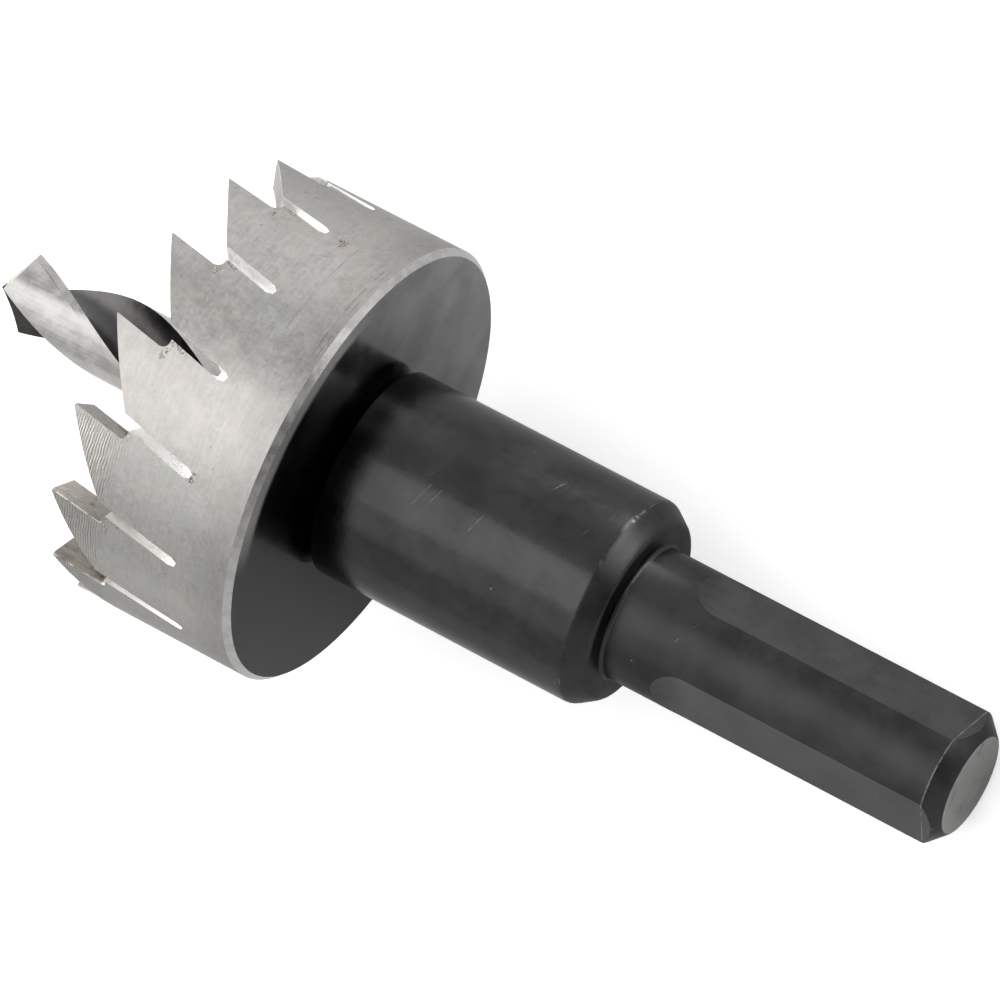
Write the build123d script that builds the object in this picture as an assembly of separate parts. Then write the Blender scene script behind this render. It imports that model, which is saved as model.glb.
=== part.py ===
from build123d import *
import math
import os

# Hole saw: a toothed cup ground from high-speed steel, on a turned arbor with a three-flat shank,
# with a twist drill as its pilot, held in the arbor by a grub screw.
#
# Each piece is drawn upright on the tool's own axis: z = 0 is the plane of the tooth tips, the drill
# points down to -z and the shank up to +z. Angles are counted round that axis from the middle of the
# flat that the tool comes to rest on. At the end the pieces are laid down together, as on a bench.
# Millimetres and degrees.

# Cup
CUP_DIAMETER = 33.4
CUP_LENGTH = 14.9
CUP_WALL = 2.0
CUP_FLOOR = 3.0
CUP_BACK_CHAMFER = 0.45
CUP_INNER_ROUND = 1.2

# Teeth: each is ground by a wheel fed straight in at the foot of its rake face
TOOTH_COUNT = 15
FIRST_TOOTH_ANGLE = 2.3
RAKE_ANGLE = 10.5
TIP_LAND = 0.12
HEEL_DEPTH = 3.75
GULLET_DEPTH = 4.45
GULLET_ROUND = 0.55

# Slits: one runs on from each gullet, cut by a thin wheel that leans a little
SLIT_WIDTH = 0.8
SLIT_LEAN = 13.0
SLIT_OFFSET = -0.47
SLIT_END = 9.7
SLIT_WHEEL_DIAMETER = 16.0
SLIT_WHEEL_EDGE = 0.2
SLIT_WHEEL_HEIGHT = 2.5
SLIT_DRIFT = 1.35
SLIT_DRIFT_ANGLE = 178.2

# Arbor: spigot, collar and shank in one turned piece
SPIGOT_DIAMETER = 11.0
SPIGOT_STAND = 0.8
SPIGOT_CHAMFER = 0.4
COLLAR_DIAMETER = 15.6
COLLAR_LENGTH = 22.9
COLLAR_SEAT_CHAMFER = 0.9
COLLAR_END_CHAMFER = 1.05
COLLAR_END_TAPER = 1.55
SHANK_DIAMETER = 10.0
SHANK_LENGTH = 26.7
SHANK_END_CHAMFER = 1.3
NECK_FILLET = 0.3

# The three flats that the chuck's jaws grip
FLAT_COUNT = 3
FLAT_DEPTH = 0.7
FLAT_START = 6.4
FLAT_CUTTER_RADIUS = 4.6

# Pilot drill
DRILL_DIAMETER = 6.35
DRILL_REACH = 15.4
POINT_ANGLE = 118.0
LIP_RELIEF = 12.0
FLUTE_LEAD = 39.0
FLUTE_LENGTH = 27.0
FLUTE_RUNOUT = 4.0
LAND_ANGLE = 80.0
MARGIN_ANGLE = 11.0
MARGIN_HEIGHT = 0.1
WEB_THICKNESS = 1.3
LIP_ANGLE = 113.2
DRILL_LENGTH = 50.0
POINT_STOCK = 0.5
FLUTE_CUTTER_SPARE = 1.0
FLUTE_CUTTER_REACH = 0.4
CORE_SEAM_ANGLE = 45.0
DRILL_END_CHAMFER = 0.5
BORE_SPARE = 2.0

# Grub screw, through the collar's side on to a flat of the drill
SCREW_DIAMETER = 5.0
SCREW_LENGTH = 4.0
SCREW_HEIGHT = 10.0
SCREW_ANGLE = 0.0
SCREW_POINT_DIAMETER = 3.5
SCREW_POINT_LENGTH = 0.7
SOCKET_ACROSS = 2.5
SOCKET_DEPTH = 2.0
DRILL_FLAT_DEPTH = 0.35
DRILL_FLAT_LENGTH = 6.0
SCREW_MOUTH_CHAMFER = 0.3
SCREW_TOP_CHAMFER = 0.3

# Fits
BRAZE_GAP = 0.03
BORE_CLEARANCE = 0.03
SCREW_CLEARANCE = 0.03

# Worked out from the sizes above
cup_radius = CUP_DIAMETER / 2
cup_bore = cup_radius - CUP_WALL
collar_start = CUP_LENGTH
collar_end = collar_start + COLLAR_LENGTH
shank_end = collar_end + SHANK_LENGTH
flat_radius = SHANK_DIAMETER / 2 - FLAT_DEPTH
drill_radius = DRILL_DIAMETER / 2
bore_radius = drill_radius + BORE_CLEARANCE
spigot_start = CUP_LENGTH - CUP_FLOOR - SPIGOT_STAND
drill_back = DRILL_LENGTH - DRILL_REACH
screw_seat = drill_radius - DRILL_FLAT_DEPTH
screw_z = collar_start + SCREW_HEIGHT


def turned(points):
    """A solid of revolution from the (radius, height) corners of its half section."""
    return revolve(Plane.XZ * make_face(Polyline(*points, close=True)), Axis.Z, 360)


def slit_middle(z):
    """Where the slit's middle line lies at height z, sideways from the rake face's meridian."""
    return SLIT_OFFSET + (z - GULLET_DEPTH) * math.tan(math.radians(SLIT_LEAN))


def cup_blank():
    back = CUP_LENGTH
    profile = [
        (SPIGOT_DIAMETER / 2 + BRAZE_GAP, back),
        (cup_radius - CUP_BACK_CHAMFER, back),
        (cup_radius, back - CUP_BACK_CHAMFER),
        (cup_radius, 0),
        (cup_bore, 0),
        (cup_bore, back - CUP_FLOOR),
        (SPIGOT_DIAMETER / 2 + BRAZE_GAP, back - CUP_FLOOR),
    ]
    blank = turned(profile)
    corner = blank.edges().filter_by(GeomType.CIRCLE).filter_by(
        lambda e: abs(e.radius - cup_bore) < 1e-3 and e.center().Z > 1
    )
    return fillet(corner, min(CUP_INNER_ROUND, CUP_FLOOR / 2))


def gullet_wheel():
    """The space in front of one rake face, seen along the radius and cut straight through the wall."""
    lean = math.tan(math.radians(RAKE_ANGLE))
    last_tip = -cup_radius * math.sin(math.radians(360 / TOOTH_COUNT)) + TIP_LAND
    heel = slit_middle(HEEL_DEPTH) - SLIT_WIDTH / 2
    clearance = HEEL_DEPTH / (heel - last_tip)
    below = CUP_WALL
    outline = Polyline(
        (-below * lean, -below),
        (GULLET_DEPTH * lean, GULLET_DEPTH),
        (slit_middle(GULLET_DEPTH), GULLET_DEPTH),
        (heel, HEEL_DEPTH),
        (last_tip - below / clearance, -below),
        close=True,
    )
    face = make_face(outline)
    foot = face.vertices().sort_by_distance((GULLET_DEPTH * lean, GULLET_DEPTH))[0]
    face = fillet(foot, GULLET_ROUND)
    reach = CUP_WALL * 3
    tangent = Plane(origin=(cup_radius + CUP_WALL, 0, 0), x_dir=(0, 1, 0), z_dir=(1, 0, 0))
    return extrude(tangent * face, -reach)


def slit_wheel(drift):
    """The thin slitting wheel, standing outside the cup and dipping through its wall."""
    radius = SLIT_WHEEL_DIAMETER / 2
    height = SLIT_WHEEL_HEIGHT + drift
    half_chord = SLIT_END - SLIT_WHEEL_HEIGHT
    stand_off = math.sqrt(radius**2 - half_chord**2)
    wheel = Cylinder(radius, SLIT_WIDTH)
    rims = wheel.edges().filter_by(GeomType.CIRCLE)
    wheel = chamfer(rims, SLIT_WHEEL_EDGE, SLIT_WHEEL_EDGE * 2)
    centre = (cup_radius + stand_off, slit_middle(height), height)
    return Pos(*centre) * Rot(90 - SLIT_LEAN, 0, 0) * wheel


def saw_cup():
    gullet = gullet_wheel()
    cuts = []
    for k in range(TOOTH_COUNT):
        angle = FIRST_TOOTH_ANGLE + k * 360 / TOOTH_COUNT
        drift = SLIT_DRIFT * math.sin(math.radians(angle - SLIT_DRIFT_ANGLE))
        cuts.append(Rot(0, 0, angle) * gullet)
        cuts.append(Rot(0, 0, angle) * slit_wheel(drift))
    return cup_blank() - cuts


def flat_cutter():
    """Clears one flat of the shank and runs out with the round of the milling cutter."""
    full_depth = collar_end + FLAT_START
    length = shank_end - full_depth
    width = SHANK_DIAMETER
    slab = Pos(flat_radius + width / 2, 0, full_depth + length / 2) * Box(width, width, length)
    mill = Pos(flat_radius + FLAT_CUTTER_RADIUS, 0, full_depth) * Rot(90, 0, 0)
    return slab + mill * Cylinder(FLAT_CUTTER_RADIUS, width)


def screw_hole():
    """The tapped hole from the collar's side into the drill's bore, with a small lead-in."""
    radius = SCREW_DIAMETER / 2 + SCREW_CLEARANCE
    outside = COLLAR_DIAMETER / 2
    hole = turned([
        (0, 0),
        (radius, 0),
        (radius, outside - SCREW_MOUTH_CHAMFER),
        (radius + 2 * SCREW_MOUTH_CHAMFER, outside + SCREW_MOUTH_CHAMFER),
        (0, outside + SCREW_MOUTH_CHAMFER),
    ])
    return Rot(0, 0, SCREW_ANGLE) * Pos(0, 0, screw_z) * Rot(0, 90, 0) * hole


def arbor():
    collar = COLLAR_DIAMETER / 2
    shank = SHANK_DIAMETER / 2
    spigot = SPIGOT_DIAMETER / 2
    body = turned([
        (0, spigot_start),
        (spigot - SPIGOT_CHAMFER, spigot_start),
        (spigot, spigot_start + SPIGOT_CHAMFER),
        (spigot, collar_start),
        (collar - COLLAR_SEAT_CHAMFER, collar_start),
        (collar, collar_start + COLLAR_SEAT_CHAMFER),
        (collar, collar_end - COLLAR_END_TAPER),
        (collar - COLLAR_END_CHAMFER, collar_end),
        (shank, collar_end),
        (shank, shank_end - SHANK_END_CHAMFER),
        (shank - SHANK_END_CHAMFER, shank_end),
        (0, shank_end),
    ])
    neck = body.edges().filter_by(GeomType.CIRCLE).filter_by(
        lambda e: abs(e.radius - shank) < 1e-3 and abs(e.center().Z - collar_end) < 1e-3
    )
    body = fillet(neck, NECK_FILLET)
    bore_end = drill_back + BORE_SPARE
    drilled_cone = bore_radius / math.tan(math.radians(POINT_ANGLE / 2))
    bore = turned([
        (0, spigot_start),
        (bore_radius, spigot_start),
        (bore_radius, bore_end),
        (0, bore_end + drilled_cone),
    ])
    cuts = [bore, screw_hole()]
    for k in range(FLAT_COUNT):
        cuts.append(Rot(0, 0, k * 360 / FLAT_COUNT) * flat_cutter())
    return body - cuts


def polar(radius, angle):
    """A point of the drill's cross-section."""
    return (radius * math.cos(math.radians(angle)), radius * math.sin(math.radians(angle)))


def flute_section(turn):
    """What one flute takes away: a round hollow, down to the web and a little past the drill's outside."""
    half_opening = (180 - LAND_ANGLE) / 2
    web = WEB_THICKNESS / 2
    across = drill_radius * math.cos(math.radians(half_opening))
    centre = (drill_radius**2 - web**2) / (2 * (across - web))
    outside = drill_radius + FLUTE_CUTTER_REACH
    reach = math.degrees(math.acos((outside**2 + 2 * centre * web - web**2) / (2 * outside * centre)))
    hollow = ThreePointArc(polar(outside, -reach), (web, 0), polar(outside, reach))
    back = ThreePointArc(polar(outside, reach), (outside, 0), polar(outside, -reach))
    return Rot(0, 0, turn + 180 - half_opening) * make_face([hollow, back])


def margin_section(turn):
    """The narrow margin that stands proud of one land, begun inside the flute before it."""
    start = turn - MARGIN_ANGLE
    end = turn + MARGIN_ANGLE
    root = drill_radius - 2 * MARGIN_HEIGHT
    return make_face([
        ThreePointArc(polar(drill_radius, start), polar(drill_radius, turn), polar(drill_radius, end)),
        Line(polar(drill_radius, end), polar(root, end)),
        Line(polar(root, end), polar(root, start)),
        Line(polar(root, start), polar(drill_radius, start)),
    ])


def turn_over(length):
    """How far the flutes turn, in degrees, over a length of the drill."""
    return 360 * length / FLUTE_LEAD


def twisted(section, start, end):
    """A cross-section swept from one height to another along the flutes' helix."""
    length = end - start
    outline = section.face().outer_wire()
    swept = Solid.extrude_linear_with_rotation(outline, (0, 0, 0), (0, 0, length), turn_over(length))
    return Pos(0, 0, start) * Rot(0, 0, turn_over(start)) * swept


def fluted_bar(length):
    """The drill's fluted length, standing on z = 0 with a cutting edge at angle 0."""
    core = Cylinder(drill_radius - MARGIN_HEIGHT, length, align=(Align.CENTER, Align.CENTER, Align.MIN))
    spare = FLUTE_CUTTER_SPARE
    margins = [twisted(margin_section(turn), 0, length) for turn in (0, 180)]
    flutes = [twisted(flute_section(turn), -spare, length + spare) for turn in (0, 180)]
    return Rot(0, 0, CORE_SEAM_ANGLE) * core + margins - flutes


def flank_grind(turn):
    """What the grinding wheel takes off one side of the point: a plane that falls away behind the lip."""
    size = 4 * DRILL_DIAMETER
    wheel = Box(size, size, size, align=(Align.CENTER, Align.CENTER, Align.MAX))
    wheel = Rot(0, POINT_ANGLE / 2 - 90, 0) * Rot(LIP_RELIEF, 0, 0) * wheel
    return Pos(0, 0, -DRILL_REACH) * Rot(0, 0, LIP_ANGLE + turn) * wheel


def screw_flat():
    """The flat ground on the drill's shank where the grub screw bears."""
    flat = Pos(screw_seat + drill_radius, 0, 0) * Box(DRILL_DIAMETER, DRILL_DIAMETER, DRILL_FLAT_LENGTH)
    return Rot(0, 0, SCREW_ANGLE) * Pos(0, 0, screw_z) * flat


def pilot_drill():
    point_height = drill_radius / math.tan(math.radians(POINT_ANGLE / 2))
    first_turn = LIP_ANGLE - turn_over(point_height + POINT_STOCK)
    bar = fluted_bar(FLUTE_LENGTH + POINT_STOCK)
    fluted = Pos(0, 0, -DRILL_REACH - POINT_STOCK) * Rot(0, 0, first_turn) * bar
    flute_end = FLUTE_LENGTH - DRILL_REACH
    shank = turned([
        (0, flute_end - FLUTE_RUNOUT),
        (WEB_THICKNESS / 2, flute_end - FLUTE_RUNOUT),
        (drill_radius - MARGIN_HEIGHT, flute_end),
        (drill_radius, flute_end),
        (drill_radius, drill_back - DRILL_END_CHAMFER),
        (drill_radius - DRILL_END_CHAMFER, drill_back),
        (0, drill_back),
    ])
    drill = fluted + shank
    return drill - [flank_grind(0), flank_grind(180), screw_flat()]


def grub_screw():
    """A headless screw with a hexagon socket and a cone point cut flat, drawn along x from its seat."""
    radius = SCREW_DIAMETER / 2
    top = SCREW_LENGTH
    body = turned([
        (0, 0),
        (SCREW_POINT_DIAMETER / 2, 0),
        (radius, SCREW_POINT_LENGTH),
        (radius, top - SCREW_TOP_CHAMFER),
        (radius - SCREW_TOP_CHAMFER, top),
        (0, top),
    ])
    hexagon = Pos(0, 0, top) * RegularPolygon(SOCKET_ACROSS / 2, 6, major_radius=False)
    body -= extrude(hexagon, -SOCKET_DEPTH)
    return Rot(0, 0, SCREW_ANGLE) * Pos(screw_seat, 0, screw_z) * Rot(0, 90, 0) * body


def lay_down(pieces):
    """Tips the tool until the cup's rear rim and the end of a flat share the ground, then centres it."""
    rim_z = CUP_LENGTH - CUP_BACK_CHAMFER
    flat_end_z = shank_end - max(0, SHANK_END_CHAMFER - FLAT_DEPTH)
    tilt = math.degrees(math.atan2(cup_radius - flat_radius, flat_end_z - rim_z))
    tipped = {name: Rot(0, 90 + tilt, 0) * piece for name, piece in pieces.items()}
    box = Compound([piece.solid() for piece in tipped.values()]).bounding_box()
    home = Pos(-box.center().X, -box.center().Y, -box.min.Z)
    return {name: home * piece for name, piece in tipped.items()}


pieces = lay_down({
    "saw_cup": saw_cup(),
    "arbor": arbor(),
    "pilot_drill": pilot_drill(),
    "grub_screw": grub_screw(),
})
os.makedirs("parts", exist_ok=True)
for name, piece in pieces.items():
    export_step(piece, f"parts/{name}.step")
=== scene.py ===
import bmesh
import bpy
import math
from mathutils import Euler, Matrix, Vector


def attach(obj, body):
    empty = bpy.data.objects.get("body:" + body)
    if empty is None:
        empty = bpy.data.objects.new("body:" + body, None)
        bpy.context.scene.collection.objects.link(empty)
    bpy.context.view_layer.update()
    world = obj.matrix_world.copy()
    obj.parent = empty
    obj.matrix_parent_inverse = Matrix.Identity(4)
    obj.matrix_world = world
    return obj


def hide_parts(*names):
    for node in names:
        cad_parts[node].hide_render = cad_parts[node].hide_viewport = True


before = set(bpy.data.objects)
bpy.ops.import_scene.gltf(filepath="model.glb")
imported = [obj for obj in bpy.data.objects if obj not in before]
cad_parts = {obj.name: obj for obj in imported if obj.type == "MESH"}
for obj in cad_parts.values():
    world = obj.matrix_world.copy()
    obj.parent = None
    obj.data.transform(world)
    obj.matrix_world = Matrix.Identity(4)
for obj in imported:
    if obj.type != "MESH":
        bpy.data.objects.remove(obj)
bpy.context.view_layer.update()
print("frame loaded:", ", ".join(sorted(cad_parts)))

bpy.context.scene.view_settings.view_transform = "Standard"
millimetre = 0.001
mergeWithin = 0.002 * millimetre

# The tool lies tipped over on its cup and its shank. Its own axes are millimetres from the plane
# of the tooth tips: z runs to the shank, x points at the ground, and y is the ground's own +Y.
toolPose = {
    "tipPlane": (-24.207, 0.0, 19.713),  # where the tool's axis meets the tooth tips, in the frame
    "lean": 104.077,                     # degrees about Y from upright to lying
    "cameraSide": 176.0,                 # angle round the axis that faces the camera
}


def toolToFrame():
    turn = Euler((0, math.radians(toolPose["lean"]), 0)).to_matrix().to_4x4()
    shift = Matrix.Translation(Vector(toolPose["tipPlane"]) * millimetre)
    return shift @ turn @ Matrix.Scale(millimetre, 4)


def onlySelect(piece):
    bpy.ops.object.select_all(action="DESELECT")
    piece.select_set(True)
    bpy.context.view_layer.objects.active = piece


def dressedCopy(nodeName, pieceName):
    piece = bpy.data.objects.new(pieceName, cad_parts[nodeName].data.copy())
    piece.data.name = pieceName
    bpy.context.scene.collection.objects.link(piece)
    onlySelect(piece)
    bpy.ops.object.mode_set(mode="EDIT")
    bpy.ops.mesh.customdata_custom_splitnormals_clear()
    bpy.ops.mesh.select_all(action="SELECT")
    bpy.ops.mesh.remove_doubles(threshold=mergeWithin)
    bpy.ops.object.mode_set(mode="OBJECT")
    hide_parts(nodeName)
    return piece


def flattenCoplanar(piece, angle):
    onlySelect(piece)
    bpy.ops.object.mode_set(mode="EDIT")
    bpy.ops.mesh.select_all(action="SELECT")
    bpy.ops.mesh.dissolve_limited(angle_limit=math.radians(angle))
    bpy.ops.object.mode_set(mode="OBJECT")


def softenEdges(piece, sharp, width, first, last, outside):
    # rounds the edges sharper than sharp degrees, between first and last along the tool and farther out than outside
    back = toolToFrame().inverted()
    onlySelect(piece)
    bpy.ops.object.mode_set(mode="EDIT")
    bpy.ops.mesh.select_mode(type="EDGE")
    bpy.ops.mesh.select_all(action="DESELECT")
    shape = bmesh.from_edit_mesh(piece.data)
    for edge in shape.edges:
        middle = back @ ((edge.verts[0].co + edge.verts[1].co) / 2)
        placed = first < middle.z < last and middle.xy.length > outside
        if placed and edge.is_manifold and math.degrees(edge.calc_face_angle()) > sharp:
            edge.select_set(True)
    bmesh.update_edit_mesh(piece.data)
    bpy.ops.mesh.bevel(offset=width * millimetre, segments=3, profile=0.5, clamp_overlap=True)
    bpy.ops.object.mode_set(mode="OBJECT")


def smoothByAngle(piece, angle):
    onlySelect(piece)
    bpy.ops.object.shade_smooth_by_angle(angle=math.radians(angle))


def finishPiece(piece, material):
    piece.data.materials.clear()
    piece.data.materials.append(material)
    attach(piece, "root")
    print("piece", piece.name, len(piece.data.polygons), "faces")


def newMaterial(name):
    material = bpy.data.materials.new(name)
    material.use_nodes = True
    tree = material.node_tree
    return material, tree, tree.nodes["Principled BSDF"]


def addNode(tree, kind, inputs=None, **values):
    node = tree.nodes.new(kind)
    for key, value in values.items():
        setattr(node, key, value)
    for key, value in (inputs or {}).items():
        if isinstance(value, bpy.types.NodeSocket):
            tree.links.new(value, node.inputs[key])
        else:
            node.inputs[key].default_value = value
    return node


def toolPlace(tree):
    place = addNode(tree, "ShaderNodeTexCoord")
    mapping = addNode(tree, "ShaderNodeMapping", {
        "Vector": place.outputs["Object"], "Location": Vector(toolPose["tipPlane"]) * millimetre,
        "Rotation": (0, math.radians(toolPose["lean"]), 0), "Scale": (millimetre,) * 3}, vector_type="TEXTURE")
    return mapping.outputs["Vector"]


def newGroup(name, inputs, outputs):
    # inputs gives each socket's default, and outputs its kind
    group = bpy.data.node_groups.new(name, "ShaderNodeTree")
    for label, default in inputs.items():
        kind = "NodeSocketVector" if isinstance(default, tuple) else "NodeSocketFloat"
        group.interface.new_socket(name=label, in_out="INPUT", socket_type=kind).default_value = default
    for label, kind in outputs.items():
        group.interface.new_socket(name=label, in_out="OUTPUT", socket_type=kind)
    return group, group.nodes.new("NodeGroupInput").outputs, group.nodes.new("NodeGroupOutput").inputs


def giveOut(group, out, **values):
    for label, value in values.items():
        group.links.new(value, out[label])


def useGroup(tree, group, **values):
    node = tree.nodes.new("ShaderNodeGroup")
    node.node_tree = group
    for key, value in values.items():
        if isinstance(value, bpy.types.NodeSocket):
            tree.links.new(value, node.inputs[key])
        else:
            node.inputs[key].default_value = value
    return node.outputs


def calc(tree, operation, *values):
    return addNode(tree, "ShaderNodeMath", dict(enumerate(values)), operation=operation).outputs[0]


def calcVector(tree, operation, *values):
    return addNode(tree, "ShaderNodeVectorMath", dict(enumerate(values)), operation=operation).outputs[0]


def noise(tree, vector, scale, detail=3.0, roughness=0.5, distortion=0.0):
    node = addNode(tree, "ShaderNodeTexNoise", {"Vector": vector, "Scale": scale, "Detail": detail,
                                                "Roughness": roughness, "Distortion": distortion})
    return node.outputs["Fac"]


def ramp(tree, value, low, high, toLow=0.0, toHigh=1.0):
    node = addNode(tree, "ShaderNodeMapRange", {
        "Value": value, "From Min": low, "From Max": high, "To Min": toLow, "To Max": toHigh},
        interpolation_type="SMOOTHSTEP")
    return node.outputs["Result"]


def band(tree, value, low, high, soft, level=1.0):
    # level between low and high, fading over soft at either end
    return calc(tree, "MULTIPLY", ramp(tree, value, low - soft, low + soft, 0.0, level),
                ramp(tree, value, high - soft, high + soft, 1.0, 0.0))


def mixColour(tree, factor, first, second):
    return addNode(tree, "ShaderNodeMix", {0: factor, 6: first, 7: second}, data_type="RGBA").outputs[2]


def mixFloat(tree, factor, first, second):
    return addNode(tree, "ShaderNodeMix", {0: factor, 2: first, 3: second}, data_type="FLOAT").outputs[0]


def bump(tree, height, distance, normal=None):
    inputs = {"Height": height, "Distance": distance * millimetre, "Strength": 1.0}
    if normal is not None:
        inputs["Normal"] = normal
    return addNode(tree, "ShaderNodeBump", inputs).outputs["Normal"]


def makeToolGroup():
    # where a point lies on the tool: millimetres along it, angle round it and distance from its axis
    group, given, out = newGroup("toolPlace", {}, {"Place": "NodeSocketVector", "Along": "NodeSocketFloat",
                                                   "Around": "NodeSocketFloat", "Radius": "NodeSocketFloat"})
    spot = toolPlace(group)
    parts = addNode(group, "ShaderNodeSeparateXYZ", {0: spot}).outputs
    turned = addNode(group, "ShaderNodeVectorRotate",
                     {"Vector": spot, "Angle": math.radians(-toolPose["cameraSide"])}, rotation_type="Z_AXIS")
    turnedParts = addNode(group, "ShaderNodeSeparateXYZ", {0: turned.outputs[0]}).outputs
    around = calc(group, "ARCTAN2", turnedParts["Y"], turnedParts["X"])
    square = calc(group, "ADD", calc(group, "MULTIPLY", parts["X"], parts["X"]),
                  calc(group, "MULTIPLY", parts["Y"], parts["Y"]))
    giveOut(group, out, Place=spot, Along=parts["Z"], Around=calc(group, "MULTIPLY", around, 180 / math.pi),
            Radius=calc(group, "SQRT", square))
    return group


turnedLook = {"wander": (0.35, 2.0), "sway": 0.5, "acrossRings": 3.0, "fine": (0.16, 0.16, 0.0),
              "lines": (1.0, 4.0, 0.6), "patch": (0.6, 4.0, 0.6)}


def makeTurnedGroup(look):
    # rings left by a turning tool: fine lines round the axis, broken up by a slow noise
    group, given, out = newGroup("turnedRings", {"Along": 0.0, "Radius": 0.0, "Place": (0, 0, 0), "Pitch": 0.3},
                                 {"Lines": "NodeSocketFloat", "Patch": "NodeSocketFloat"})
    shifted = calc(group, "MULTIPLY_ADD", noise(group, given["Place"], *look["wander"]), look["sway"], given["Along"])
    line = addNode(group, "ShaderNodeCombineXYZ", {
        "X": calc(group, "DIVIDE", shifted, given["Pitch"]),
        "Y": calc(group, "MULTIPLY", given["Radius"], look["acrossRings"])}).outputs[0]
    both = calcVector(group, "ADD", line, calcVector(group, "MULTIPLY", given["Place"], look["fine"]))
    giveOut(group, out, Lines=noise(group, both, *look["lines"]), Patch=noise(group, given["Place"], *look["patch"]))
    return group


speckLook = {"bendScale": 2.3, "bendDetail": 2.0, "bend": (0.9, 0.9, 0.9)}


def makeSpeckGroup(look):
    # small scattered marks, as rust specks and pits: one where a cell's own random value is low enough
    group, given, out = newGroup("specks", {"Place": (0, 0, 0), "Scale": 1.0, "Share": 0.2, "Size": 0.25},
                                 {"Mask": "NodeSocketFloat"})
    bent = addNode(group, "ShaderNodeTexNoise", {
        "Vector": given["Place"], "Scale": look["bendScale"], "Detail": look["bendDetail"]})
    moved = calcVector(group, "MULTIPLY_ADD", bent.outputs["Color"], look["bend"], given["Place"])
    cells = addNode(group, "ShaderNodeTexVoronoi", {"Vector": moved, "Scale": given["Scale"]})
    chance = addNode(group, "ShaderNodeSeparateColor", {0: cells.outputs["Color"]}).outputs
    chosen = calc(group, "LESS_THAN", chance[0], given["Share"])
    size = calc(group, "MULTIPLY", given["Size"], chance[1])
    near = addNode(group, "ShaderNodeMapRange", {
        "Value": cells.outputs["Distance"], "From Min": size, "From Max": calc(group, "MULTIPLY", size, 0.5),
        "To Min": 0.0, "To Max": 1.0})
    giveOut(group, out, Mask=calc(group, "MULTIPLY", chosen, near.outputs["Result"]))
    return group


nickLook = {"ragged": (2.2, 5.0, 0.7), "breaks": (0.55, 3.0, 0.6), "breakFrom": 0.85, "breakTo": 0.95}


def makeNickGroup(look):
    # wear where two faces meet: a thin line at one place along the tool, broken by noise
    group, given, out = newGroup("wornEdge", {"Place": (0, 0, 0), "Value": 0.0, "Edge": 0.0, "Width": 0.1,
                                              "Amount": 0.5}, {"Mask": "NodeSocketFloat"})
    away = calc(group, "ABSOLUTE", calc(group, "SUBTRACT", given["Value"], given["Edge"]))
    ragged = calc(group, "MULTIPLY", noise(group, given["Place"], *look["ragged"]), 2.0)
    line = calc(group, "SUBTRACT", 1.0, calc(group, "DIVIDE", away, calc(group, "MULTIPLY", given["Width"], ragged)))
    line = addNode(group, "ShaderNodeClamp", {0: line}).outputs[0]
    broken = ramp(group, noise(group, given["Place"], *look["breaks"]),
                  calc(group, "SUBTRACT", look["breakFrom"], given["Amount"]),
                  calc(group, "SUBTRACT", look["breakTo"], given["Amount"]))
    giveOut(group, out, Mask=calc(group, "MULTIPLY", line, broken))
    return group


# a slit starts at each gullet and leans away from its tooth; the marks lie in bands beside it and along the tool
burrLook = {
    "firstSlit": 173.7, "halfPitch": 12.0, "wallPerDegree": 0.29147, "gullet": 4.45, "lean": 0.2309, "offset": -0.47,
    "bands": (
        ((0.36, 0.75, 0.12), (4.3, 5.9, 0.4)),    # the mouth
        ((0.9, 2.0, 0.2), (4.2, 4.7, 0.15)),      # under the tooth
        ((-0.45, 0.5, 0.15), (9.5, 10.3, 0.2)),   # the far end
    ),
    "ragged": (3.6, 3.0, 0.6, 1.5), "raggedReach": (0.52, 0.60), "some": (0.21, 1.0), "someReach": (0.40, 0.52),
}


def makeBurrGroup(look):
    # ragged dark marks that the slitting wheel leaves beside each slit
    group, given, out = newGroup("slitBurrs", {"Place": (0, 0, 0), "Along": 0.0, "Around": 0.0},
                                 {"Mask": "NodeSocketFloat"})
    tooth = calc(group, "WRAP", calc(group, "ADD", given["Around"], look["firstSlit"]),
                 look["halfPitch"], -look["halfPitch"])
    middle = calc(group, "MULTIPLY_ADD", calc(group, "SUBTRACT", given["Along"], look["gullet"]),
                  look["lean"], look["offset"])
    beside = calc(group, "SUBTRACT", calc(group, "MULTIPLY", tooth, look["wallPerDegree"]), middle)
    where = 0.0
    for besideBand, alongBand in look["bands"]:
        mark = calc(group, "MULTIPLY", band(group, beside, *besideBand), band(group, given["Along"], *alongBand))
        where = calc(group, "MAXIMUM", where, mark)
    ragged = ramp(group, noise(group, given["Place"], *look["ragged"]), *look["raggedReach"])
    some = ramp(group, noise(group, given["Place"], *look["some"]), *look["someReach"])
    giveOut(group, out, Mask=calc(group, "MULTIPLY", calc(group, "MULTIPLY", where, ragged), some))
    return group


toolGroup = makeToolGroup()
turnedGroup = makeTurnedGroup(turnedLook)
speckGroup = makeSpeckGroup(speckLook)
nickGroup = makeNickGroup(nickLook)
burrGroup = makeBurrGroup(burrLook)
print("node groups made")


def steelMaterial(name, ringPitch):
    # a metal with the two groups that every steel here reads: the place on the tool and the turned rings
    material, tree, shader = newMaterial(name)
    shader.inputs["Metallic"].default_value = 1.0
    place = useGroup(tree, toolGroup)
    rings = useGroup(tree, turnedGroup, Along=place["Along"], Radius=place["Radius"], Place=place["Place"],
                     Pitch=ringPitch)
    return material, tree, shader.inputs, place, rings


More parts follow.
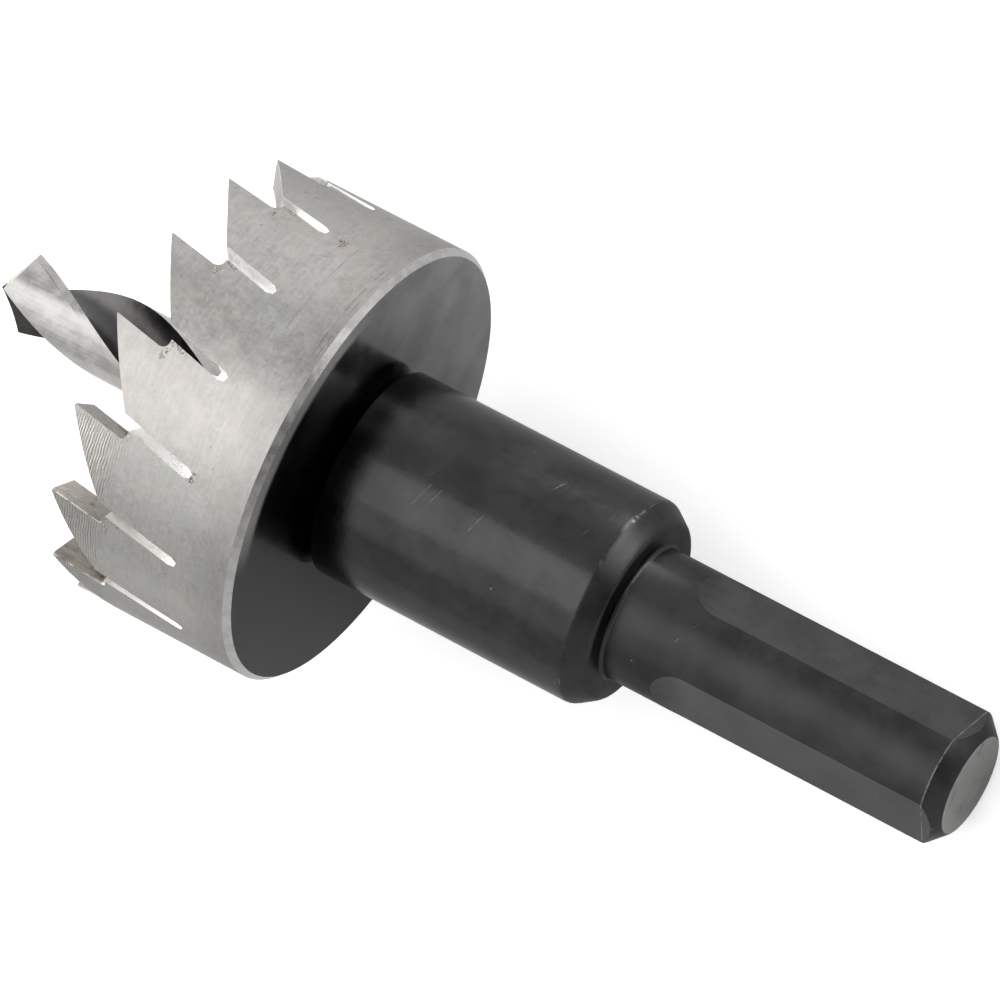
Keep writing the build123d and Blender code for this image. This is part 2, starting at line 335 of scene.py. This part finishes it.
wallLook = {
    "light": (0.430, 0.418, 0.402, 1), "dark": (0.326, 0.314, 0.300, 1), "speck": (0.09, 0.08, 0.07, 1),
    "warm": (0.425, 0.385, 0.36, 1), "green": (0.358, 0.377, 0.349, 1), "scratch": (0.16, 0.155, 0.15, 1),
    "glancing": (0.6, 0.6, 0.6, 1), "roughness": (0.26, 0.42), "ringPitch": 0.22,
    "mottle": (2.6, 5.0, 0.7), "mottleShare": 0.42, "streaks": (1.0, 4.0, 0.65), "streakStretch": (0.7, 0.7, 4.5),
    "streakShare": 0.36, "ringShare": 0.25, "slow": (0.42, 4.0, 0.6), "grainDepth": 0.004, "markDepth": 0.03,
    "pits": {"Scale": 1.0, "Share": 0.34, "Size": 0.17}, "dots": {"Scale": 2.6, "Share": 0.20, "Size": 0.16},
    "groovePitch": 0.21, "grooveEnd": (2.6, 5.4), "grooveFrom": (14, 24), "grooveDepth": 0.014, "grooveDirt": 0.6,
    "grooveBreaks": (1.0, 4.0, 0.7), "grooveStretch": (0.8, 0.8, 3.0), "grooveSway": (0.5, 2.0),
    "scratches": ((13.75, 0.05), (14.12, 0.04), (11.1, 0.03)), "scratchSide": (-52, -18, 3), "scratchAmount": 0.42,
    "rear": (10.5, 14.2, 0.0, 0.16),
}


def makeWallSteel(look):
    material, tree, shader, place, rings = steelMaterial("groundWall", look["ringPitch"])
    spot, along, around = place["Place"], place["Along"], place["Around"]
    mottle = ramp(tree, noise(tree, spot, *look["mottle"]), 0.35, 0.65)
    stretched = calcVector(tree, "MULTIPLY", spot, look["streakStretch"])
    streaks = ramp(tree, noise(tree, stretched, *look["streaks"]), 0.35, 0.65)
    fine = calc(tree, "MULTIPLY", rings["Lines"], look["ringShare"])
    fine = calc(tree, "MULTIPLY_ADD", streaks, look["streakShare"], fine)
    fine = calc(tree, "MULTIPLY_ADD", mottle, look["mottleShare"], fine)
    tone = mixColour(tree, fine, look["dark"], look["light"])
    slow = noise(tree, spot, *look["slow"])
    tone = mixColour(tree, ramp(tree, slow, 0.52, 0.7, 0.0, 0.5), tone, look["warm"])
    tone = mixColour(tree, ramp(tree, slow, 0.46, 0.3, 0.0, 0.5), tone, look["green"])
    # specks of rust over the whole wall, and turning grooves on the teeth of the lower side
    pits = useGroup(tree, speckGroup, Place=spot, **look["pits"])
    dots = useGroup(tree, speckGroup, Place=spot, **look["dots"])
    marks = calc(tree, "MAXIMUM", calc(tree, "MULTIPLY", pits["Mask"], 0.55),
                 calc(tree, "MULTIPLY", dots["Mask"], 0.35))
    near = calc(tree, "MULTIPLY", ramp(tree, along, *look["grooveEnd"], 1.0, 0.0),
                ramp(tree, around, *look["grooveFrom"]))
    turns = calc(tree, "MULTIPLY_ADD", noise(tree, spot, *look["grooveSway"]), 0.5, along)
    wave = calc(tree, "SINE", calc(tree, "MULTIPLY", turns, 2 * math.pi / look["groovePitch"]))
    stretched = calcVector(tree, "MULTIPLY", spot, look["grooveStretch"])
    broken = ramp(tree, noise(tree, stretched, *look["grooveBreaks"]), 0.34, 0.6, 0.2, 1.0)
    groove = calc(tree, "MULTIPLY", wave, calc(tree, "MULTIPLY", near, broken))
    tone = mixColour(tree, ramp(tree, groove, 0.1, -0.7, 0.0, look["grooveDirt"]), tone, look["speck"])
    burrs = useGroup(tree, burrGroup, Place=spot, Along=along, Around=around)
    marks = calc(tree, "MAXIMUM", marks, calc(tree, "MULTIPLY", burrs["Mask"], 0.9))
    tone = mixColour(tree, marks, tone, look["speck"])
    scratched = 0.0
    for edge, width in look["scratches"]:
        line = useGroup(tree, nickGroup, Place=spot, Value=along, Edge=edge, Width=width,
                        Amount=look["scratchAmount"])
        scratched = calc(tree, "MAXIMUM", scratched, line["Mask"])
    scratched = calc(tree, "MULTIPLY", scratched, band(tree, around, *look["scratchSide"]))
    tone = mixColour(tree, scratched, tone, look["scratch"])
    # painted shade: the wall is darkened towards the rear of the cup, where less light falls on it
    tone = mixColour(tree, ramp(tree, along, *look["rear"]), tone, (0, 0, 0, 1))
    tree.links.new(tone, shader["Base Color"])
    shader["Specular Tint"].default_value = look["glancing"]
    spread = calc(tree, "MULTIPLY_ADD", ramp(tree, rings["Patch"], 0.3, 0.7), 0.6,
                  calc(tree, "MULTIPLY", mottle, 0.4))
    tree.links.new(ramp(tree, spread, 0.0, 1.0, *look["roughness"]), shader["Roughness"])
    normal = bump(tree, fine, look["grainDepth"], bump(tree, groove, look["grooveDepth"]))
    tree.links.new(bump(tree, marks, look["markDepth"], normal), shader["Normal"])
    return material


backLook = {
    "light": (0.30, 0.303, 0.30, 1), "dark": (0.195, 0.198, 0.198, 1), "shade": (0.012, 0.012, 0.012, 1),
    "rim": (0.50, 0.49, 0.48, 1), "rimFrom": (14.5, 15.3, 0.0, 0.8), "paintedSheenSide": (-34, 34, 10), "rimRoughness": 0.6,
    "glancing": (0.76, 0.76, 0.76, 1), "roughness": (0.14, 0.24), "patch": (0.25, 4.0, 0.6),
    "paintedSideShade": (0.12, 2.0), "paintedSideShadeSway": 8.0, "paintedSideShadeReach": (10.0, -1.0, 0.0, 0.9), "rings": (3.5, 3.0),
}
rimLook = {"light": (0.42, 0.415, 0.405, 1), "dark": (0.32, 0.316, 0.308, 1), "roughness": (0.25, 0.35)}
insideLook = {"light": (0.86, 0.85, 0.83, 1), "dark": (0.72, 0.71, 0.69, 1), "roughness": (0.35, 0.5)}


def makeBackSteel(look):
    material, tree, shader = newMaterial("darkBack")
    place = useGroup(tree, toolGroup)
    spot = place["Place"]
    patch = ramp(tree, noise(tree, spot, *look["patch"]), 0.3, 0.7)
    # painted shade: the back face is darkened towards the shade colour on its -Y side, broken up by noise
    sideways = addNode(tree, "ShaderNodeSeparateXYZ", {0: spot}).outputs["Y"]
    paintedSideShade = calc(tree, "MULTIPLY_ADD", noise(tree, spot, *look["paintedSideShade"]), look["paintedSideShadeSway"], sideways)
    tone = mixColour(tree, patch, look["dark"], look["light"])
    tone = mixColour(tree, ramp(tree, paintedSideShade, *look["paintedSideShadeReach"]), tone, look["shade"])
    # painted highlight: the outer ring of the back face is made lighter and rougher only on the side that faces the
    # camera
    onRim = calc(tree, "MULTIPLY", ramp(tree, place["Radius"], *look["rimFrom"]),
                 band(tree, place["Around"], *look["paintedSheenSide"]))
    tree.links.new(mixColour(tree, onRim, tone, look["rim"]), shader.inputs["Base Color"])
    shader.inputs["Metallic"].default_value = 1.0
    shader.inputs["Specular Tint"].default_value = look["glancing"]
    rough = mixFloat(tree, onRim, ramp(tree, patch, 0, 1, *look["roughness"]), look["rimRoughness"])
    tree.links.new(rough, shader.inputs["Roughness"])
    outward = addNode(tree, "ShaderNodeCombineXYZ", {0: place["Radius"]}).outputs[0]
    tree.links.new(bump(tree, noise(tree, outward, *look["rings"]), 0.003), shader.inputs["Normal"])
    return material


cutLook = {
    "light": (0.31, 0.292, 0.268, 1), "dark": (0.20, 0.186, 0.168, 1), "scorch": (0.06, 0.045, 0.035, 1),
    "edge": (0.60, 0.59, 0.57, 1), "outside": (16.52, 16.64), "roughness": (0.25, 0.4), "lineDepth": 0.008,
    "lines": (1.6, 4.0, 0.6), "lineStretch": (2.5, 2.5, 0.35), "heat": (0.7, 4.0, 0.6), "heatReach": (0.46, 0.6),
    "heatAlong": (2.4, 6.2, 0.9), "wear": (1.5, 3.0), "wearAndSheenReach": (0.35, 0.5),
}
# the slit walls: freshly cut steel, made near white as a painted highlight of the bright light seen in the slits
slitLook = dict(cutLook, light=(0.99, 0.985, 0.97, 1), dark=(0.95, 0.945, 0.93, 1), scorch=(0.6, 0.59, 0.56, 1),
                edge=(0.97, 0.97, 0.96, 1), outside=(16.55, 16.68), roughness=(0.42, 0.5), lineDepth=0.001)


def makeCutSteel(name, look):
    material, tree, shader = newMaterial(name)
    place = useGroup(tree, toolGroup)
    spot = place["Place"]
    stretched = calcVector(tree, "MULTIPLY", spot, look["lineStretch"])
    lines = ramp(tree, noise(tree, stretched, *look["lines"]), 0.3, 0.7)
    tone = mixColour(tree, lines, look["dark"], look["light"])
    heat = calc(tree, "MULTIPLY", ramp(tree, noise(tree, spot, *look["heat"]), *look["heatReach"]),
                band(tree, place["Along"], *look["heatAlong"]))
    tone = mixColour(tree, calc(tree, "MULTIPLY", heat, 0.7), tone, look["scorch"])
    # the outer edge of the cut faces is made lighter, broken up by noise: partly real wear, partly a painted
    # highlight on the edge
    worn = calc(tree, "MULTIPLY", ramp(tree, place["Radius"], *look["outside"]),
                ramp(tree, noise(tree, spot, *look["wear"]), *look["wearAndSheenReach"]))
    tree.links.new(mixColour(tree, worn, tone, look["edge"]), shader.inputs["Base Color"])
    shader.inputs["Metallic"].default_value = 1.0
    tree.links.new(ramp(tree, lines, 0, 1, *look["roughness"]), shader.inputs["Roughness"])
    tree.links.new(bump(tree, lines, look["lineDepth"]), shader.inputs["Normal"])
    return material


# edges and scratches lie at millimetres along the tool; a scratch's row is its place, width and first and last angle
oxideLook = {
    "light": (0.054, 0.054, 0.055, 1), "dark": (0.038, 0.038, 0.039, 1), "worn": (0.34, 0.33, 0.32, 1),
    "end": (0.33, 0.33, 0.324, 1), "glancing": (0.7, 0.7, 0.7, 1), "shankShade": 0.16,
    "seat": (16.8, 18.8, 0.75, 0.0), "roughness": (0.17, 0.25), "shankRoughness": (0.32, 0.42), "ringPitch": 0.16,
    "patch": (0.3, 5.0, 0.65), "blotch": (0.6, 5.0, 0.65), "blotchReach": (0.2, 0.5, 0.35, 1.0),
    "chamferStart": 36.25, "shankEnd": 64.5, "endChamfer": 63.2,
    "knock": {"Width": 0.15, "Amount": 0.36}, "knockSide": (-56, -8, 4, 0.55),
    "rub": {"Width": 0.05, "Amount": 0.30}, "endRub": {"Width": 0.07, "Amount": 0.42},
    "scratches": ((21.8, 0.04, -16, -4), (22.4, 0.03, -12, 8), (23.3, 0.03, -10, 0), (26.9, 0.04, -6, 4),
                  (28.6, 0.03, -44, -36), (20.6, 0.03, 24, 34), (33.0, 0.04, -30, -22), (43.0, 0.04, -12, 10)),
    "scratchSlant": 0.045, "scratchAmount": 0.42, "specks": {"Scale": 0.55, "Share": 0.16, "Size": 0.10},
    "ringDepth": 0.003, "patchDepth": 0.01, "wearDepth": 0.02,
}
flatLook = dict(oxideLook, glancing=(1, 1, 1, 1), shankShade=0.0, light=(0.062, 0.062, 0.062, 1),
                dark=(0.044, 0.044, 0.045, 1), shankRoughness=(0.26, 0.36), ringPitch=0.5)


def makeOxideWear(tree, look, spot, along, around):
    # bright metal where the black is rubbed off: chamfers, short scratches and specks
    knocked = useGroup(tree, nickGroup, Place=spot, Value=along, Edge=look["chamferStart"], **look["knock"])
    rubbed = useGroup(tree, nickGroup, Place=spot, Value=along, Edge=look["chamferStart"], **look["rub"])
    endRubbed = useGroup(tree, nickGroup, Place=spot, Value=along, Edge=look["endChamfer"], **look["endRub"])
    wear = calc(tree, "MAXIMUM", calc(tree, "MULTIPLY", knocked["Mask"], band(tree, around, *look["knockSide"])),
                calc(tree, "MULTIPLY", rubbed["Mask"], 0.35))
    wear = calc(tree, "MAXIMUM", wear, calc(tree, "MULTIPLY", endRubbed["Mask"], 0.5))
    slanting = calc(tree, "MULTIPLY_ADD", around, look["scratchSlant"], along)
    for edge, width, first, last in look["scratches"]:
        line = useGroup(tree, nickGroup, Place=spot, Value=slanting, Edge=edge, Width=width,
                        Amount=look["scratchAmount"])
        mark = calc(tree, "MULTIPLY", line["Mask"], band(tree, around, first, last, 3, 0.4))
        wear = calc(tree, "MAXIMUM", wear, mark)
    specks = useGroup(tree, speckGroup, Place=spot, **look["specks"])
    return calc(tree, "MAXIMUM", wear, calc(tree, "MULTIPLY", specks["Mask"], 0.45))


def makeOxide(name, look):
    material, tree, shader, place, rings = steelMaterial(name, look["ringPitch"])
    spot, along, around = place["Place"], place["Along"], place["Around"]
    patch = ramp(tree, noise(tree, spot, *look["patch"]), 0.3, 0.7)
    tone = mixColour(tree, patch, look["dark"], look["light"])
    # painted shade: the collar is darkened towards black where it meets the cup, as in the corner's shade
    tone = mixColour(tree, ramp(tree, along, *look["seat"]), tone, (0, 0, 0, 1))
    onShank = ramp(tree, along, look["chamferStart"] - 0.1, look["chamferStart"] + 0.1)
    tone = mixColour(tree, calc(tree, "MULTIPLY", onShank, look["shankShade"]), tone, (0, 0, 0, 1))
    onEnd = ramp(tree, along, look["shankEnd"] - 0.08, look["shankEnd"] - 0.03)
    blotch = ramp(tree, noise(tree, spot, *look["blotch"]), *look["blotchReach"])
    tone = mixColour(tree, calc(tree, "MULTIPLY", onEnd, blotch), tone, look["end"])
    wear = makeOxideWear(tree, look, spot, along, around)
    tree.links.new(mixColour(tree, wear, tone, look["worn"]), shader["Base Color"])
    shader["Specular Tint"].default_value = look["glancing"]
    cloudy = calc(tree, "MULTIPLY_ADD", ramp(tree, rings["Patch"], 0.3, 0.7), 0.7,
                  calc(tree, "MULTIPLY", rings["Lines"], 0.3))
    rough = mixFloat(tree, onShank, ramp(tree, cloudy, 0, 1, *look["roughness"]),
                     ramp(tree, cloudy, 0, 1, *look["shankRoughness"]))
    tree.links.new(rough, shader["Roughness"])
    normal = bump(tree, rings["Lines"], look["ringDepth"], bump(tree, patch, look["patchDepth"]))
    tree.links.new(bump(tree, wear, look["wearDepth"], normal), shader["Normal"])
    return material


drillLook = {"light": (0.47, 0.462, 0.445, 1), "dark": (0.37, 0.363, 0.35, 1), "roughness": (0.22, 0.36)}
marginLook = {"light": (0.45, 0.44, 0.425, 1), "dark": (0.34, 0.335, 0.32, 1), "roughness": (0.2, 0.3)}
pointLook = {"light": (0.66, 0.62, 0.53, 1), "dark": (0.46, 0.43, 0.37, 1), "roughness": (0.22, 0.34)}
fluteLook = {"light": (0.066, 0.064, 0.063, 1), "dark": (0.046, 0.044, 0.043, 1), "roughness": (0.3, 0.4)}
screwLook = {"light": (0.05, 0.05, 0.052, 1), "dark": (0.03, 0.03, 0.032, 1), "roughness": (0.3, 0.45)}


def makeGroundSteel(name, look, scale=0.8, ringPitch=0.2, grain=0.004):
    material, tree, shader, place, rings = steelMaterial(name, ringPitch)
    patch = ramp(tree, noise(tree, place["Place"], scale, 4.0, 0.6), 0.3, 0.7)
    tree.links.new(mixColour(tree, patch, look["dark"], look["light"]), shader["Base Color"])
    tree.links.new(ramp(tree, patch, 0, 1, *look["roughness"]), shader["Roughness"])
    tree.links.new(bump(tree, rings["Lines"], grain), shader["Normal"])
    return material


def toolFaces(piece):
    # each face with its centre, distance from the axis, normal and outward share, in the tool's own millimetres
    back = toolToFrame().inverted()
    turn = back.to_3x3().normalized()
    for face in piece.data.polygons:
        centre = back @ face.center
        normal = (turn @ face.normal).normalized()
        radial = Vector((centre.x, centre.y, 0))
        outward = normal.dot(radial.normalized()) if radial.length > 0 else 0.0
        yield face, centre, radial.length, normal, outward


def addMaterials(piece, **materials):
    # gives the piece further materials, and returns the number of each by its name
    numbers = {}
    for name, material in materials.items():
        numbers[name] = len(piece.data.materials)
        piece.data.materials.append(material)
    return numbers


# flatten, smooth and sharp are degrees; a normal's share is 1 along an axis and 0 across it
cupZones = {
    "flatten": 0.3, "smooth": 28, "square": 0.9, "sloping": 0.4, "backFace": 14.75, "rimStart": 14.2,
    "rimRadius": 16, "slitStart": 4.3, "slitEnd": 11.5, "wallInside": 14.6, "slitOutward": 0.2, "slitUpright": 0.3,
}


def finishCup(zones):
    cup = dressedCopy("saw_cup", "sawCup")
    flattenCoplanar(cup, zones["flatten"])
    smoothByAngle(cup, zones["smooth"])
    finishPiece(cup, makeWallSteel(wallLook))
    numbers = addMaterials(
        cup, back=makeBackSteel(backLook), rim=makeGroundSteel("backRim", rimLook),
        cut=makeCutSteel("wheelCut", cutLook), slit=makeCutSteel("slitCut", slitLook),
        inside=makeGroundSteel("cupInside", insideLook))
    square = zones["square"]
    for face, centre, radius, normal, outward in toolFaces(cup):
        onRim = radius > zones["rimRadius"] and centre.z > zones["rimStart"]
        if normal.z > square and centre.z > zones["backFace"]:
            face.material_index = numbers["back"]
        elif zones["sloping"] < normal.z <= square and onRim:
            face.material_index = numbers["rim"]
        elif centre.z < zones["slitEnd"] and radius > zones["wallInside"] and abs(outward) < square:
            beside = outward > zones["slitOutward"] or abs(normal.z) < zones["slitUpright"]
            inSlit = centre.z > zones["slitStart"] and beside
            face.material_index = numbers["slit"] if inSlit else numbers["cut"]
        elif centre.z < zones["slitEnd"] and outward < -square:
            face.material_index = numbers["inside"]
    return cup


# a round's row is its width, the stretch along the tool where its edges lie and their least distance from the axis
arborZones = {
    "flatten": 0.3, "smooth": 30, "sharp": 20,
    "rounds": (
        (0.28, 36, 38, 6),          # the collar's chamfer
        (0.35, 64.4, 65, 0),        # the shank's end face
        (0.25, 63.1, 63.3, 4.93),   # the end chamfer, on the rounds between the flats
    ),
    "flatStart": 40.0, "flatReach": 4.95, "flatTurn": 120, "flatSpread": 1.0, "flatUpright": 0.3,
}


def finishArbor(zones):
    arbor = dressedCopy("arbor", "arborBody")
    flattenCoplanar(arbor, zones["flatten"])
    for row in zones["rounds"]:
        softenEdges(arbor, zones["sharp"], *row)
    smoothByAngle(arbor, zones["smooth"])
    finishPiece(arbor, makeOxide("blackOxide", oxideLook))
    numbers = addMaterials(arbor, flat=makeOxide("blackFlat", flatLook))
    for face, centre, radius, normal, outward in toolFaces(arbor):
        aside = math.degrees(math.atan2(normal.y, normal.x)) % zones["flatTurn"]
        squareOn = min(aside, zones["flatTurn"] - aside) < zones["flatSpread"]
        onFlat = squareOn and math.hypot(normal.x, normal.y) > zones["flatUpright"]
        if onFlat and centre.z > zones["flatStart"] and radius < zones["flatReach"]:
            face.material_index = numbers["flat"]
            face.use_smooth = False
    return arbor


drillZones = {
    "smooth": 28, "fluteEnd": 11.6, "pointNormal": -0.45, "pointEnd": -12, "stepRadius": 3.06,
    "landOutward": 0.8, "landRadius": 2.7, "marginRadius": 3.11,
}


def finishDrill(zones):
    drill = dressedCopy("pilot_drill", "pilotDrill")
    smoothByAngle(drill, zones["smooth"])
    finishPiece(drill, makeGroundSteel("drillLand", drillLook))
    numbers = addMaterials(
        drill, flute=makeGroundSteel("drillFlute", fluteLook), margin=makeGroundSteel("drillMargin", marginLook),
        point=makeGroundSteel("drillPoint", pointLook, 1.4))
    for face, centre, radius, normal, outward in toolFaces(drill):
        if centre.z > zones["fluteEnd"]:
            continue
        sideways = normal.y * centre.x - normal.x * centre.y
        if normal.z < zones["pointNormal"] and centre.z < zones["pointEnd"]:
            face.material_index = numbers["point"]
        elif radius > zones["stepRadius"] and sideways > 0:
            face.material_index = numbers["margin"]
        elif outward < zones["landOutward"] or radius < zones["landRadius"]:
            face.material_index = numbers["flute"]
        elif radius > zones["marginRadius"]:
            face.material_index = numbers["margin"]
    return drill


screwZones = {"smooth": 30}


def finishScrew(zones):
    screw = dressedCopy("grub_screw", "grubScrew")
    smoothByAngle(screw, zones["smooth"])
    finishPiece(screw, makeGroundSteel("screwBlack", screwLook))
    return screw


cup = finishCup(cupZones)
arbor = finishArbor(arborZones)
drill = finishDrill(drillZones)
screw = finishScrew(screwZones)
print("pieces dressed")


floorLook = {"size": 6.0, "height": -0.00002, "colour": (0.80, 0.80, 0.80, 1), "cameraLift": 0.5}


def makeFloor(look):
    bpy.ops.object.select_all(action="DESELECT")
    bpy.ops.mesh.primitive_plane_add(size=look["size"], location=(0, 0, look["height"]))
    floor = bpy.context.active_object
    floor.name = "studioFloor"
    material, tree, shader = newMaterial("studioFloor")
    shader.inputs["Base Color"].default_value = look["colour"]
    shader.inputs["Roughness"].default_value = 1.0
    shader.inputs["Specular IOR Level"].default_value = 0.0
    path = addNode(tree, "ShaderNodeLightPath")
    shader.inputs["Emission Color"].default_value = (1, 1, 1, 1)
    tree.links.new(calc(tree, "MULTIPLY", path.outputs["Is Camera Ray"], look["cameraLift"]),
                   shader.inputs["Emission Strength"])
    floor.data.materials.append(material)


worldLook = {
    "fill": 0.42, "seen": 0.85, "dark": 0.3, "darkSide": (0.89, 0.05, 0.46), "darkReach": (0.7, 0.95),
}


def makeWorld(look):
    # white to the camera, pale to the lamps' side, and darker behind the shank as a black card would make it
    world = bpy.data.worlds.new("paleStudio")
    bpy.context.scene.world = world
    world.use_nodes = True
    tree = world.node_tree
    back = tree.nodes["Background"]
    path = addNode(tree, "ShaderNodeLightPath")
    place = addNode(tree, "ShaderNodeTexCoord")
    toward = addNode(tree, "ShaderNodeVectorMath", {0: place.outputs["Generated"], 1: look["darkSide"]},
                     operation="DOT_PRODUCT")
    seen = ramp(tree, toward.outputs["Value"], *look["darkReach"], look["seen"], look["dark"])
    strength = mixFloat(tree, path.outputs["Is Glossy Ray"], look["fill"], seen)
    strength = mixFloat(tree, path.outputs["Is Camera Ray"], strength, 1.0)
    tree.links.new(strength, back.inputs["Strength"])
    back.inputs["Color"].default_value = (1, 1, 1, 1)


# each lamp: angle round the tool and lean towards the teeth of its direction, then metres and its brightness
lampAim = (0, 0, 20)  # in the tool's own millimetres
lampRows = {
    "keyPanel": {"angle": 9, "along": -0.33, "distance": 0.6,
                 "across": 0.46, "length": 0.9, "radiance": 0.75},
    "keyFade": {"angle": 25, "along": -0.33, "distance": 0.62,
                "across": 0.86, "length": 0.9, "radiance": 0.48},
    "sidePanel": {"angle": -74, "along": -0.33, "distance": 0.7,
                  "across": 0.50, "length": 0.9, "radiance": 0.27},
    "endPanel": {"angle": 0, "along": -0.995, "distance": 0.6,
                 "across": 0.9, "length": 0.6, "radiance": 3.5},
    "fillPanel": {"angle": -84, "along": 0.30, "distance": 0.8,
                  "across": 0.45, "length": 0.8, "radiance": 4.0},
    "floorPanel": {"angle": -58, "along": 0.60, "distance": 0.7,
                   "across": 0.5, "length": 0.5, "radiance": 3.0},
}


def makeLamp(name, row):
    centre = toolToFrame() @ Vector(lampAim)
    turn = math.radians(toolPose["cameraSide"] + row["angle"])
    flat = math.sqrt(1 - row["along"] ** 2)
    direction = toolToFrame().to_3x3() @ Vector((flat * math.cos(turn), flat * math.sin(turn), row["along"]))
    direction.normalize()
    data = bpy.data.lights.new(name, "AREA")
    data.shape = "RECTANGLE"
    data.size = row["across"]
    data.size_y = row["length"]
    data.energy = row["radiance"] * math.pi * row["across"] * row["length"]
    lamp = bpy.data.objects.new(name, data)
    bpy.context.scene.collection.objects.link(lamp)
    axis = (toolToFrame().to_3x3() @ Vector((0, 0, 1))).normalized()
    side = direction.cross(axis).normalized()
    lengthways = side.cross(direction) * -1
    lamp.matrix_world = Matrix((side, lengthways, direction)).transposed().to_4x4()
    lamp.location = centre + direction * row["distance"]


cameraLook = {
    "aim": (1.004, 2.521, 15.0),  # millimetres, as distance, lens and sensor
    "distance": 605.02,
    "lens": 315.59,
    "sensor": 36,
    "azimuth": 96.370,            # degrees, as elevation and roll
    "elevation": 56.171,
    "roll": -69.035,
    "clip": (0.05, 20),           # metres
}


def makeCamera(look):
    turn, rise, roll = (math.radians(look[key]) for key in ("azimuth", "elevation", "roll"))
    back = Vector((math.sin(turn) * math.cos(rise), -math.cos(turn) * math.cos(rise), math.sin(rise)))
    levelRight = Vector((math.cos(turn), math.sin(turn), 0))
    levelUp = back.cross(levelRight)
    right = levelRight * math.cos(roll) + levelUp * math.sin(roll)
    up = levelUp * math.cos(roll) - levelRight * math.sin(roll)
    data = bpy.data.cameras.new("studioCamera")
    data.sensor_width = look["sensor"]
    data.lens = look["lens"]
    data.clip_start, data.clip_end = look["clip"]
    camera = bpy.data.objects.new("studioCamera", data)
    bpy.context.scene.collection.objects.link(camera)
    camera.matrix_world = Matrix((right, up, back)).transposed().to_4x4()
    camera.location = (Vector(look["aim"]) + back * look["distance"]) * millimetre
    bpy.context.scene.camera = camera


makeFloor(floorLook)
makeWorld(worldLook)
for lampName, lampRow in lampRows.items():
    makeLamp(lampName, lampRow)
makeCamera(cameraLook)
print("studio made")
